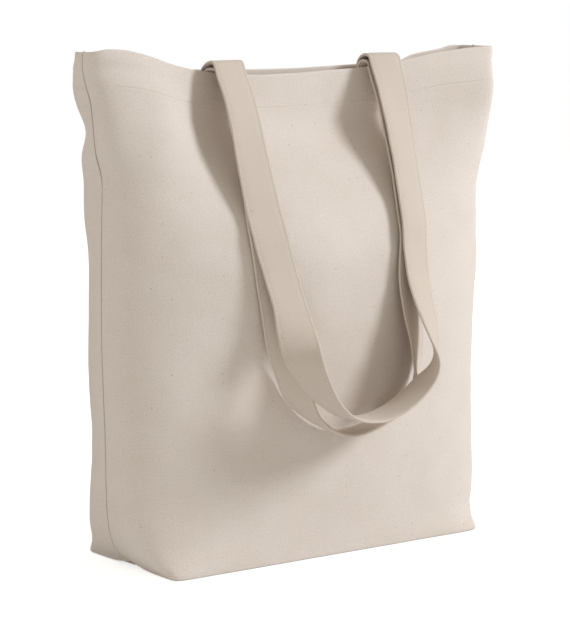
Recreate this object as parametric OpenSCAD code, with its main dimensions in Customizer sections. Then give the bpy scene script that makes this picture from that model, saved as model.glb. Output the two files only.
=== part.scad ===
// Canvas tote bag with a boxed bottom and two long carrying handles, in millimetres.
// The origin is the middle of the base on the floor; the front is -Y and +Z is up.
// The cloth is two panels that meet in the plane y = 0: each makes its own face, half of
// each side and half of the base, and turns in at the mouth to make the hem.

/* [Bag] */
// Height of the bag at its side seams
bag_h = 400; // [320:5:460]
// Width of the boxed base
base_w = 300; // [240:5:360]
// Depth of the boxed base, which is also the depth of the gusset
base_d = 130; // [100:5:160]
// Outside depth of the mouth at its middle, where it has almost closed
mouth_mid = 16; // [14:1:40]
// Outside depth of the mouth at its two blunt ends
mouth_end = 56; // [46:2:76]
// How far the rim sags between the side seams
rim_dip = 18; // [4:1:24]

/* [Cloth] */
// Thickness of one layer of canvas
canvas_t = 1; // [0.6:0.1:1.4]
// Height of the turned-in hem
hem_h = 30; // [24:1:36]
// Width of the seam allowance inside the bag
allowance = 10; // [7:1:13]

/* [Handles] */
// Width of the strap
strap_w = 30; // [24:1:36]
// Thickness of the folded strap
strap_t = 2; // [1.4:0.2:2.4]
// Distance between the middles of the two legs of a handle at the rim
handle_spacing = 152; // [124:2:170]
// Width of the hanging loop, between the middles of its legs
loop_w = 132; // [104:2:142]
// Height of the round lower part of the hanging loop
loop_rise = 74; // [50:2:100]
// How far the front handle hangs below the rim
handle_drop = 286; // [220:2:310]
// How much shorter the back handle hangs, because it crosses the mouth first
drop_step = 10; // [4:1:14]
// Clear space between the front face and the back of a hanging strap
strap_stand = 6; // [4:0.5:8]
// How far the stiff legs of a handle bow out below the rim
leg_bow = 10; // [8:1:24]
// How far the back handle stands out from the front handle at the bottom of the loop
loop_spread = 34; // [30:1:44]

/* [Thread] */
// Thickness of the sewing thread
thread_t = 0.5; // [0.3:0.1:0.7]
// Distance from the rim to the hem stitching
hem_stitch = 27; // [20:1:30]
// Distance from the strap's inner edge to its topstitching
edge_stitch = 3; // [2:0.5:5]
// Height of the crossed box that sews a handle end down
tack_h = 17; // [12:1:18]
// Depth of the overlocked edge on a seam allowance
overlock_w = 5; // [3:0.5:6]

/* [Hidden] */

cloth_colour = [0.87, 0.82, 0.74];
strap_colour = [0.85, 0.80, 0.73];
thread_colour = [0.78, 0.71, 0.60];
columns = 28;        // strips across one panel, from side seam to side seam
wall_rings = 11;     // levels between the base allowance and the hem
leg_rings = 20;      // steps down one leg of a hanging loop
arc_rings = 12;      // steps round one half of the loop's lower part
arch_rings = 4;      // steps round one quarter of the arch over the rim
fit = 0.3;           // clearance between pieces that lie on each other
seat = 0.15;         // clearance between a thread and the cloth it lies on
hem_step = 1.5;      // height over which the wall thickens to the doubled hem
end_wrap = 0.38;     // share of a blunt end's depth that the mouth's width loses
side_bow = 0.2;      // share of the gusset's depth by which each side bows out
corner_level = 0.055;  // level by which the boxed corners have swung out to the body's width
flare_from = 0.7;    // level from which the sides run out to the mouth
flare_over = 0.28;   // range of levels over which they do
close_from = 0.58;   // level from which the front and back close in to the mouth
sag_from = 0.55;     // level from which the rim's sag is felt
body_square = 3.2;   // squareness of the body's outline at mid height
base_square = 7;     // added squareness at the base, which dies away upward
mouth_square = 6;    // added squareness at the mouth
bow_rise = 0.8;      // how early on its way down a leg bows out most
turn_power = 1.2;    // how late on its way down a loop turns edge out
spread_power = 1.5;  // how late on its way down the back loop stands off the front one
tack_gap = 1;        // between a tack and the hem stitching below it
corner_trim = 1;     // by which the corner allowances are lower than the others
corner_share = 0.35; // share of the base's depth that each corner allowance runs

// ---- the bag's shape: half width, half depth and squareness at each level ----
// Half width of the mouth: the cloth that goes round the blunt ends is lost to the width.
mouth_half = (base_w + base_d) / 2 - end_wrap * mouth_end;
// Half width of the body at mid height, where the sides bow out.
body_half = base_w / 2 + side_bow * base_d;

function ease(t) = let (c = min(1, max(0, t))) c * c * (3 - 2 * c);
function mix(a, b, t) = a + (b - a) * t;
function closing(v) = ease((v - close_from) / (1 - close_from));
function flare(v) = ease((v - flare_from) / flare_over);
function half_width(v) =
  mix(base_w / 2, body_half, 1 - exp(-v / corner_level)) + (mouth_half - body_half) * flare(v);
function middle_depth(v) = mix(base_d, mouth_mid, closing(v)) / 2;
function end_depth(v) = mix(base_d, mouth_end, closing(v)) / 2;
function squareness(v) =
  body_square + base_square * exp(-v / corner_level) + mouth_square * flare(v);
// Outside half depth of the body at a place x across and a level v up.
function swell(x, v) = mix(middle_depth(v), end_depth(v), pow(abs(x) / half_width(v), 6));
function face(x, v) =
  let (n = squareness(v)) swell(x, v) * pow(1 - pow(abs(x) / half_width(v), n), 1 / n);
// Height of a level at a place x across: the rim sags in the middle.
function sag(x, v) =
  rim_dip * ease((v - sag_from) / (1 - sag_from)) * pow(1 - pow(abs(x) / half_width(v), 3), 2);
function height(x, v) = bag_h * v - sag(x, v);
function rim_z(x) = height(x, 1);
// Level of the wall at a place x across and a height z.
function level_at(x, z) = min(1, (z + sag(x, (z + sag(x, 1)) / bag_h)) / bag_h);

// One point of the outline at level v; turn runs from 0 at the left seam to 180 at the right.
function outline(turn, v) =
  let (n = squareness(v), reach = pow(pow(abs(cos(turn)), n) + pow(abs(sin(turn)), n), -1 / n),
       x = -half_width(v) * reach * cos(turn))
  [x, -swell(x, v) * reach * sin(turn)];
// Inward unit normal of the outline there.
function inward(turn, v) =
  let (d = outline(turn + 1, v) - outline(turn - 1, v)) [-d[1], d[0]] / norm(d);
// A point set inward from the outline by a distance, at its own height.
function set_in(turn, v, depth) =
  let (p = outline(turn, v), q = p + depth * inward(turn, v)) [q[0], q[1], height(p[0], v)];

// ---- panels ----
hem_v = 1 - hem_h / bag_h;
hem_base_v = hem_v + hem_step / bag_h;
// Outer face of the hem, which runs straight from its foot to the rim.
function hem_face(x, z) =
  lookup(z, [[height(x, hem_base_v), face(x, hem_base_v)], [rim_z(x), face(x, 1)]]);
allowance_top = canvas_t + allowance;
levels = concat(
  [0, canvas_t / bag_h, allowance_top / bag_h],
  [for (i = [1:wall_rings]) mix(allowance_top / bag_h, hem_v, i / (wall_rings + 1))],
  [hem_v, hem_base_v, 1]);
top = len(levels) - 1;
function layers(v) = v > (hem_v + hem_base_v) / 2 ? 2 * canvas_t : canvas_t;

// Pairs of outer and inner points across one level, from the left allowance to the right.
function seam_pair(side, v, reach) =
  let (a = half_width(v), z = bag_h * v)
  [[side * (a - reach), 0, z], [side * (a - max(reach, layers(v))), -canvas_t, z]];
function wall_pair(i, v) =
  let (turn = 180 * i / columns, p = outline(turn, v))
  [[p[0], p[1], height(p[0], v)], set_in(turn, v, layers(v))];
function level_pairs(v) =
  let (reach = 2 * canvas_t + allowance)
  concat([seam_pair(-1, v, reach), seam_pair(-1, v, 0)],
         [for (i = [1:columns - 1]) wall_pair(i, v)],
         [seam_pair(1, v, 0), seam_pair(1, v, reach)]);

across = columns + 3;                              // pairs on one level
under = 2 * across * (top + 1);                    // the middle point of the underside
function at(k, j, inner) = 2 * (k * across + j) + inner;
function quad(a, b, c, d) = [[a, b, c], [a, c, d]];

function panel_faces() = [
  // outer wall
  for (k = [0:top - 1]) for (j = [1:across - 3])
    each quad(at(k, j, 0), at(k + 1, j, 0), at(k + 1, j + 1, 0), at(k, j + 1, 0)),
  // inner wall, above the base
  for (k = [1:top - 1]) for (j = [0:across - 2])
    each quad(at(k, j, 1), at(k, j + 1, 1), at(k + 1, j + 1, 1), at(k + 1, j, 1)),
  // side allowances in the plane of the seam, and their free edges, above the base allowance
  for (k = [2:top - 1]) for (j = [0, across - 2])
    each quad(at(k, j, 0), at(k + 1, j, 0), at(k + 1, j + 1, 0), at(k, j + 1, 0)),
  for (k = [2:top - 1]) each quad(at(k, 0, 1), at(k + 1, 0, 1), at(k + 1, 0, 0), at(k, 0, 0)),
  for (k = [2:top - 1])
    each quad(at(k, across - 1, 0), at(k + 1, across - 1, 0),
              at(k + 1, across - 1, 1), at(k, across - 1, 1)),
  // rim
  for (j = [0:across - 2])
    each quad(at(top, j, 0), at(top, j, 1), at(top, j + 1, 1), at(top, j + 1, 0)),
  // underside and the floor inside, each a fan round its own middle point
  for (j = [1:across - 2])
    [under, at(0, j, 0), at(0, j == across - 2 ? 1 : j + 1, 0)],
  for (j = [0:across - 1])
    [under + 1, at(1, (j + 1) % across, 1), at(1, j, 1)],
  // allowance that stands up along the base seam: front, top and the face in the seam plane
  each quad(at(1, 0, 1), at(2, 0, 1), at(2, across - 1, 1), at(1, across - 1, 1)),
  each quad(at(2, 0, 1), at(2, 0, 0), at(2, across - 1, 0), at(2, across - 1, 1)),
  each quad(at(0, 1, 0), at(0, across - 2, 0), at(1, across - 2, 0), at(1, 1, 0)),
  [at(1, 1, 0), at(1, across - 2, 0), at(2, across - 2, 0)],
  [at(1, 1, 0), at(2, across - 2, 0), at(2, across - 1, 0)],
  [at(1, 1, 0), at(2, across - 1, 0), at(2, 0, 0)],
  [at(1, 1, 0), at(2, 0, 0), at(2, 1, 0)]];

module panel() {
  color(cloth_colour)
    polyhedron(
      concat([for (v = levels) for (p = level_pairs(v)) each p],
             [[0, -base_d / 4, 0], [0, -base_d / 4, canvas_t]]),
      panel_faces());
}
module front_panel() { panel(); }
module back_panel() { rotate([0, 0, 180]) panel(); }

// ---- a bar swept through rings of four corners ----
module swept(rings) {
  n = len(rings);
  polyhedron([for (r = rings) each r], [
    for (k = [0:n - 2]) for (j = [0:3])
      let (m = (j + 1) % 4)
      each quad(4 * k + j, 4 * k + m, 4 * (k + 1) + m, 4 * (k + 1) + j),
    each quad(3, 2, 1, 0),
    each quad(4 * n - 4, 4 * n - 3, 4 * n - 2, 4 * n - 1)]);
}
// Four corners round a middle point: half sizes along the width w and the outward normal n.
function corners(c, w, n) = [c - w - n, c - w + n, c + w + n, c + w - n];

// ---- overlocked edges: thread wrapped over both allowances ----
channel_half = canvas_t + seat;
overlock_half = channel_half + thread_t;
allowance_edge = [for (v = levels) [bag_h * v, half_width(v) - 2 * canvas_t - allowance]];
// A strip along the free edge of a side allowance, bending where the allowance bends.
module edge_strip(side, foot, head, inset, half) {
  between = [for (e = allowance_edge) if (e[0] > foot && e[0] < head) e[0]];
  swept([for (z = concat([foot], between, [head]))
    let (x = lookup(z, allowance_edge) - inset + overlock_w / 2)
    corners([side * x, 0, z], [overlock_w / 2, 0, 0], [0, half, 0])]);
}
module side_overlock(side) {
  foot = allowance_top + thread_t + fit;
  head = bag_h * hem_v - fit;
  color(thread_colour)
    difference() {
      edge_strip(side, foot, head, thread_t + seat, overlock_half);
      edge_strip(side, foot - 1, head + 1, seat, channel_half);
    }
}
module left_side_overlock() { side_overlock(-1); }
module right_side_overlock() { side_overlock(1); }

module base_overlock() {
  reach = base_w / 2 - 2 * canvas_t - allowance - fit;
  color(thread_colour)
    translate([-reach, 0, allowance_top - overlock_w + thread_t + seat])
      difference() {
        translate([0, -overlock_half, 0]) cube([2 * reach, 2 * overlock_half, overlock_w]);
        translate([-1, -channel_half, -1])
          cube([2 * reach + 2, 2 * channel_half, overlock_w + 1 - thread_t]);
      }
}

// ---- boxed corners: the overlocked allowance along each end of the base ----
module corner_allowance(side) {
  near = overlock_half + thread_t + fit;
  run = corner_share * base_d - near;
  depth = 2 * canvas_t + thread_t;
  rise = allowance - corner_trim;
  color(thread_colour)
    for (half = [-1, 1])
      translate([side * (base_w / 2 - canvas_t - fit - depth / 2), half * (near + run / 2),
                 canvas_t + rise / 2])
        cube([depth, run, rise], center = true);
}
module left_corner_allowance() { corner_allowance(-1); }
module right_corner_allowance() { corner_allowance(1); }

// ---- hem stitching: one line of thread outside the mouth and one inside ----
stitch_v = 1 - hem_stitch / bag_h;
stitch_rise = (stitch_v - hem_base_v) / (1 - hem_base_v);
// The line bends only where the panel's own strips meet, so it lies evenly on them.
module hem_line(depth, skip) {
  swept([for (i = [0:columns])
    let (turn = min(180 - skip, max(skip, 180 * i / columns)), n = inward(turn, stitch_v),
         c = mix(set_in(turn, hem_base_v, depth), set_in(turn, 1, depth), stitch_rise))
    if (i == 0 || i == columns || (turn > skip && turn < 180 - skip))
      corners(c, [0, 0, -thread_t / 2], -[n[0], n[1], 0] * thread_t / 2)]);
}
module hem_stitching() {
  lie = seat + thread_t / 2;
  color(thread_colour)
    for (half = [0, 180])
      rotate([0, 0, half]) {
        hem_line(-lie, 0.2);
        hem_line(2 * canvas_t + lie, 6);
      }
}

// ---- handle ends: sewn inside the hem, up and over to the top of the arch ----
leg_x = handle_spacing / 2;
inner_x = leg_x - strap_w / 2;
outer_x = leg_x + strap_w / 2;
hem_depth = 2 * canvas_t + fit + strap_t / 2;       // from the outer face to an end's middle
end_top_y = face(inner_x, 1) - hem_depth;
end_foot_z = height(outer_x, stitch_v) + thread_t + seat;
end_foot_y = hem_face(inner_x, end_foot_z) - hem_depth;
layer_gap = 2 * (thread_t + 2 * fit);               // between the two straps where they lie
front_leg_y = -(face(outer_x, 1) + strap_stand + strap_t / 2);
back_leg_y = front_leg_y - strap_t - layer_gap;

// Each arch over the rim is the middle line of the strap: [y and z of its centre, radius].
front_arch_r = (-front_leg_y - end_top_y) / 2;
front_arch = [front_leg_y + front_arch_r, rim_z(outer_x) + strap_t / 2, front_arch_r];
back_arch_r = (end_top_y - back_leg_y) / 2;
spare_r = back_arch_r - front_arch_r - strap_t - layer_gap;
// The back arch rises so far that the straps keep their gap on the slope as well.
arch_lift = max(0, spare_r * (2 - sqrt(2)));
back_arch = [back_leg_y + back_arch_r,
             front_arch[1] - spare_r + arch_lift, back_arch_r];

// A frame of a strap is its middle point, the direction across it and its outward normal.
// Round an arch, bend runs from 0 behind the rim to 180 in front.
function arch_frame(x, arch, bend, across_x) =
  let (n = [0, cos(bend), sin(bend)]) [[x, arch[0], arch[1]] + arch[2] * n, [across_x, 0, 0], n];
function strap_ring(f) = corners(f[0], f[1] * strap_w / 2, f[2] * strap_t / 2);

// The end lies along the inside of the hem and bends up into the arch at the rim.
module handle_end(side, half, arch) {
  flat_frames = [for (p = [[end_foot_y, end_foot_z], [end_top_y, rim_z(inner_x)]])
    [[side * leg_x, half * p[0], p[1]], [1, 0, 0], [0, 1, 0]]];
  last = 90 - asin(fit / arch[2]);
  color(strap_colour)
    swept(concat(
      [for (f = flat_frames) strap_ring(f)],
      [for (i = [0:arch_rings])
        strap_ring(arch_frame(side * leg_x, arch, last * i / arch_rings, 1))]));
}
module front_left_handle_end() { handle_end(-1, -1, front_arch); }
module front_right_handle_end() { handle_end(1, -1, front_arch); }
module back_left_handle_end() { handle_end(-1, 1, back_arch); }
module back_right_handle_end() { handle_end(1, 1, back_arch); }

// ---- crossed boxes of thread, outside the panel and over the handle end inside ----
tack_w = strap_w - 2 * edge_stitch;
tack_z = end_foot_z + thread_t + tack_h / 2 + tack_gap;
tack_y = hem_face(inner_x, tack_z) - hem_depth;
tack_lean = atan((end_foot_y - end_top_y) / (rim_z(inner_x) - end_foot_z));
tack_out = hem_face(outer_x, tack_z) - tack_y + thread_t / 2 + seat;
module crossed_box() {
  slant = atan(tack_h / tack_w);
  length = norm([tack_w, tack_h]);
  for (s = [-1, 1]) {
    translate([0, 0, s * tack_h / 2]) cube([tack_w + thread_t, thread_t, thread_t], center = true);
    translate([s * tack_w / 2, 0, 0]) cube([thread_t, thread_t, tack_h + thread_t], center = true);
    rotate([0, s * slant, 0]) cube([length, thread_t, thread_t], center = true);
  }
}
module tack(side, turned) {
  inside = strap_t / 2 + thread_t / 2 + seat;
  color(thread_colour)
    rotate([0, 0, turned])
      translate([side * leg_x, -tack_y, tack_z])
        rotate([-tack_lean, 0, 0])
          for (y = [-tack_out, inside])
            translate([0, y, 0]) crossed_box();
}
module front_left_tack() { tack(-1, 0); }
module front_right_tack() { tack(1, 0); }
module back_left_tack() { tack(1, 180); }
module back_right_tack() { tack(-1, 180); }

// ---- hanging handles: half an arch each side, two legs and the round of the loop ----
// Both loops turn a quarter round on the way down, so that at the bottom they lie edge out.
// Along a loop, t runs from -2 at the left rim through 0 at the bottom to 2 at the right rim.
function loop_line(t, leg_z, drop) =
  let (low = leg_z - drop + loop_rise, k = abs(t) - 1)
  k > 0
    ? [sign(t) * mix(loop_w, handle_spacing, ease(k)) / 2, mix(low, leg_z, k)]
    : [loop_w / 2 * sin(90 * t), low - loop_rise * cos(90 * t)];
function leg_turn(f) = 90 * pow(max(0, f), turn_power);
// A loop's own values: [y of the leg at the rim, z of the leg at the rim, drop, spread].
front_loop = [front_leg_y, front_arch[1], handle_drop - (rim_z(leg_x) - front_arch[1]), 0];
back_loop = [back_leg_y, back_arch[1], front_loop[2] - drop_step - (front_arch[1] - back_arch[1]),
             loop_spread];
function loop_point(t, loop) =
  let (p = loop_line(t, loop[1], loop[2]), f = (loop[1] - p[1]) / loop[2],
       below = max(0, (rim_z(leg_x) - p[1]) / handle_drop),
       rim_off = -loop[0] - face(leg_x, 1),
       bow = leg_bow * sin(180 * pow(below, bow_rise)),
       off = rim_off + bow + loop[3] * pow(below, spread_power) + strap_w / 2 * sin(leg_turn(f)))
  [p[0], -face(p[0], level_at(p[0], p[1])) - off, p[1]];
function loop_frame(t, loop) =
  let (c = loop_point(t, loop), d = loop_point(t + 0.01, loop) - loop_point(t - 0.01, loop),
       along = d / norm(d), a = leg_turn((loop[1] - c[2]) / loop[2]), turn = t < 0 ? a : 180 - a,
       w0 = [cos(turn), -sin(turn), 0], w1 = w0 - (w0 * along) * along, w = w1 / norm(w1))
  [c, w, cross(along, w)];
function handle_frames(arch, loop) =
  let (first = 90 + asin(fit / arch[2]))
  concat(
    [for (i = [0:arch_rings - 1]) arch_frame(-leg_x, arch, mix(first, 180, i / arch_rings), 1)],
    [for (i = [0:leg_rings - 1]) loop_frame(-2 + i / leg_rings, loop)],
    [for (i = [-arc_rings:arc_rings]) loop_frame(i / arc_rings, loop)],
    [for (i = [1:leg_rings]) loop_frame(1 + i / leg_rings, loop)],
    [for (i = [arch_rings - 1:-1:0]) arch_frame(leg_x, arch, mix(first, 180, i / arch_rings), -1)]);

module handle(arch, loop) {
  color(strap_colour)
    swept([for (f = handle_frames(arch, loop)) strap_ring(f)]);
}
module topstitching(arch, loop) {
  aside = strap_w / 2 - edge_stitch;
  proud = strap_t / 2 + fit + thread_t / 2;
  color(thread_colour)
    for (s = [-1, 1])
      swept([for (f = handle_frames(arch, loop))
        corners(f[0] + aside * f[1] + s * proud * f[2], f[1] * thread_t / 2, f[2] * thread_t / 2)]);
}
module front_handle() { handle(front_arch, front_loop); }
module front_handle_stitching() { topstitching(front_arch, front_loop); }
module back_handle() { handle(back_arch, back_loop); }
module back_handle_stitching() { topstitching(back_arch, back_loop); }

front_panel();
back_panel();
left_side_overlock();
right_side_overlock();
base_overlock();
left_corner_allowance();
right_corner_allowance();
hem_stitching();
front_left_handle_end();
front_right_handle_end();
back_left_handle_end();
back_right_handle_end();
front_left_tack();
front_right_tack();
back_left_tack();
back_right_tack();
front_handle();
front_handle_stitching();
back_handle();
back_handle_stitching();
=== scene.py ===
import math
import bpy
import numpy as np
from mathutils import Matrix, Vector


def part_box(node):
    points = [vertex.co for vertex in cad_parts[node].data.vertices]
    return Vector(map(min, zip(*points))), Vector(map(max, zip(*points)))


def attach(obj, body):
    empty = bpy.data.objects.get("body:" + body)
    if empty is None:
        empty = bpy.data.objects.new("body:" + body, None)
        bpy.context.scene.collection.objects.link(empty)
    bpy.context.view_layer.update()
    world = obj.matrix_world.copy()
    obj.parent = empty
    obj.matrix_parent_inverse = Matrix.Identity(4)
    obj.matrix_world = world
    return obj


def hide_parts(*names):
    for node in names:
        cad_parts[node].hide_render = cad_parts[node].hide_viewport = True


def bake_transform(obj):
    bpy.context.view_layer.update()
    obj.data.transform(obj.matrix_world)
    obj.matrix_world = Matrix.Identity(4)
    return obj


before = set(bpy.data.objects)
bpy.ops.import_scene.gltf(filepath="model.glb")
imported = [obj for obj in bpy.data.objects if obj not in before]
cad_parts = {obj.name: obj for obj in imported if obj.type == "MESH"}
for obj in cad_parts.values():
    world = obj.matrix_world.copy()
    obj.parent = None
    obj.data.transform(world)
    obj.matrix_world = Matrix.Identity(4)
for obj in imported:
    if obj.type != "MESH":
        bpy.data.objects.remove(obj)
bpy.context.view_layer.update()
mm = 0.001  # everything is in metres, and lengths are written in millimetres
chance = np.random.default_rng(21)

viewpoint = {"azimuth": -36.3, "elevation": 8.0, "distance": 2006.2 * mm, "aside": -1.5 * mm,
             "aimHeight": 186.3 * mm, "lens": 141.55}


def direction(azimuth, rise):
    # from the bag toward a place at this bearing and rise, in degrees, where 0 is straight in front
    a, e = math.radians(azimuth), math.radians(rise)
    return Vector((math.sin(a) * math.cos(e), -math.cos(a) * math.cos(e), math.sin(e)))


def placeCamera(v):
    a = math.radians(v["azimuth"])
    back = direction(v["azimuth"], v["elevation"])
    right = Vector((math.cos(a), math.sin(a), 0))
    camera = bpy.data.objects.new("camera", bpy.data.cameras.new("camera"))
    bpy.context.scene.collection.objects.link(camera)
    camera.data.lens = v["lens"]
    camera.data.clip_start, camera.data.clip_end = 0.05, 50
    camera.location = right * v["aside"] + Vector((0, 0, v["aimHeight"])) + back * v["distance"]
    camera.rotation_mode = "QUATERNION"
    camera.rotation_quaternion = (-back).to_track_quat("-Z", "Y")
    bpy.context.scene.camera = camera


placeCamera(viewpoint)
print("camera placed")


def ease(t):
    t = np.clip(t, 0, 1)
    return t * t * (3 - 2 * t)


def mix(a, b, t):
    return a + (b - a) * t


def unit(v):
    return v / np.maximum(np.linalg.norm(v, axis=-1, keepdims=True), 1e-12)


def through(x, *points):
    # smooth line through a few points in mm, level beyond the ends and with no overshoot
    px, py = np.array(points, float).T * mm
    step = np.diff(px)
    grade = np.diff(py) / step
    slope = np.zeros(len(px))
    a, b = 2 * step[1:] + step[:-1], step[1:] + 2 * step[:-1]
    turning = grade[:-1] * grade[1:] <= 0
    steady = np.where(turning, 1, grade[:-1]), np.where(turning, 1, grade[1:])
    slope[1:-1] = np.where(turning, 0, (a + b) / (a / steady[0] + b / steady[1]))
    k = np.clip(np.searchsorted(px, x) - 1, 0, len(step) - 1)
    t = np.clip((x - px[k]) / step[k], 0, 1)
    rise = (slope[k] * (1 - t) - slope[k + 1] * t) * step[k] * t * (1 - t)
    return mix(py[k], py[k + 1], ease(t)) + rise


def ripple(x, y, longest, shortest, waves, height):
    # gentle unevenness: waves in many directions, the short ones lower
    total = np.zeros(np.broadcast(x, y).shape)
    for length in np.geomspace(longest, shortest, waves):
        a, start = chance.uniform(0, math.pi), chance.uniform(0, 2 * math.pi)
        run = x * math.cos(a) + y * math.sin(a)
        total += length / longest * np.sin(2 * math.pi * run / length + start)
    return height * total


def lengthAlong(points):
    # distance from the first point to each of the others, along them
    return np.concatenate([[0], np.cumsum(np.linalg.norm(np.diff(points, axis=0), axis=1))])


def pickAt(values, run, at):
    return np.stack([np.interp(at, run, values[:, k]) for k in range(values.shape[1])], -1)


def quads(ids):
    return np.stack([ids[:-1, :-1], ids[:-1, 1:], ids[1:, 1:], ids[1:, :-1]], -1).reshape(-1, 4)


def makePiece(name, points, faces, finish, cloth=None):
    # cloth gives each point its place on the flat cloth, in metres, which the weave follows
    mesh = bpy.data.meshes.new(name)
    mesh.from_pydata(np.asarray(points).tolist(), [], faces if isinstance(faces, list) else faces.tolist())
    if cloth is not None:
        corner = np.zeros(len(mesh.loops), int)
        mesh.loops.foreach_get("vertex_index", corner)
        layer = mesh.uv_layers.new(name="cloth")
        layer.uv.foreach_set("vector", np.asarray(cloth)[corner].astype(np.float32).ravel())
    mesh.shade_smooth()
    mesh.materials.append(finish)
    piece = bpy.data.objects.new(name, mesh)
    bpy.context.scene.collection.objects.link(piece)
    return piece


def grow(tree, kind, feeds=(), **settings):
    node = tree.nodes.new("ShaderNode" + kind)
    for key, value in settings.items():
        setattr(node, key, value)
    for key, value in dict(feeds).items():
        if isinstance(value, bpy.types.NodeSocket):
            tree.links.new(value, node.inputs[key])
        else:
            node.inputs[key].default_value = value
    return node


def calc(tree, operation, *values):
    return grow(tree, "Math", enumerate(values), operation=operation).outputs[0]


def tint(tree, amount, first, second):
    return grow(tree, "Mix", {0: amount, 6: first, 7: second}, data_type="RGBA").outputs[2]


fabric = {"gloss": 0.2, "sheen": 0.12, "sheenRough": 0.6}


def newFinish(name, rough):
    finish = bpy.data.materials.new(name)
    finish.use_nodes = True
    tree = finish.node_tree
    shader = tree.nodes["Principled BSDF"]
    shader.inputs["Roughness"].default_value = rough
    shader.inputs["Specular IOR Level"].default_value = fabric["gloss"]
    shader.inputs["Sheen Weight"].default_value = fabric["sheen"]
    shader.inputs["Sheen Roughness"].default_value = fabric["sheenRough"]
    return finish, tree, shader


bagCloth = {"colour": (0.755, 0.683, 0.630, 1), "shade": (0.61, 0.52, 0.44, 1), "pitch": 0.8 * mm,
            "weave": 0.55, "fleck": (0.26, 0.17, 0.09, 1), "flecks": 0.22, "grain": 0.34,
            "seams": (20 * mm, 450 * mm)}
# the strap canvas is darker than the bag's; the difference is painted shade for straps turned away from the
# key lamp
strapCloth = {"colour": (0.605, 0.550, 0.508, 1), "shade": (0.61, 0.52, 0.44, 1), "pitch": 0.65 * mm,
              "weave": 0.6, "fleck": (0.33, 0.24, 0.15, 1), "flecks": 0.10, "grain": 1.5, "seams": ()}

# what all the canvas shares: the unevenness of its yarns and how strongly each kind darkens it, with painted
# shade in the gaps between yarns, its flecks, its relief, and the painted shade of the groove along a side
# seam
canvasLook = {"rough": 0.92, "wander": 0.7, "wanderScale": 420.0, "yarnGapShade": 0.22,
              "streaks": ((900, 60, 1), (60, 900, 1)), "slubRange": (0.62, 0.36), "slubs": 0.12,
              "fibreScale": 700.0, "fibreRange": (0.66, 0.42),
              "cloudScale": 28.0, "cloudRange": (0.62, 0.38), "clouds": 0.10,
              "fleckScale": 120.0, "fleckSize": (0.06, 0.035), "fleckStrength": 0.85,
              "yarnRelief": 0.18 * mm, "slubRelief": 0.3 * mm, "relief": 0.5,
              "seamShade": (0.36, 0.26, 0.18, 1), "seamStrength": 0.65, "seamCore": 0.1 * mm,
              "seamReach": 0.8 * mm}


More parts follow.
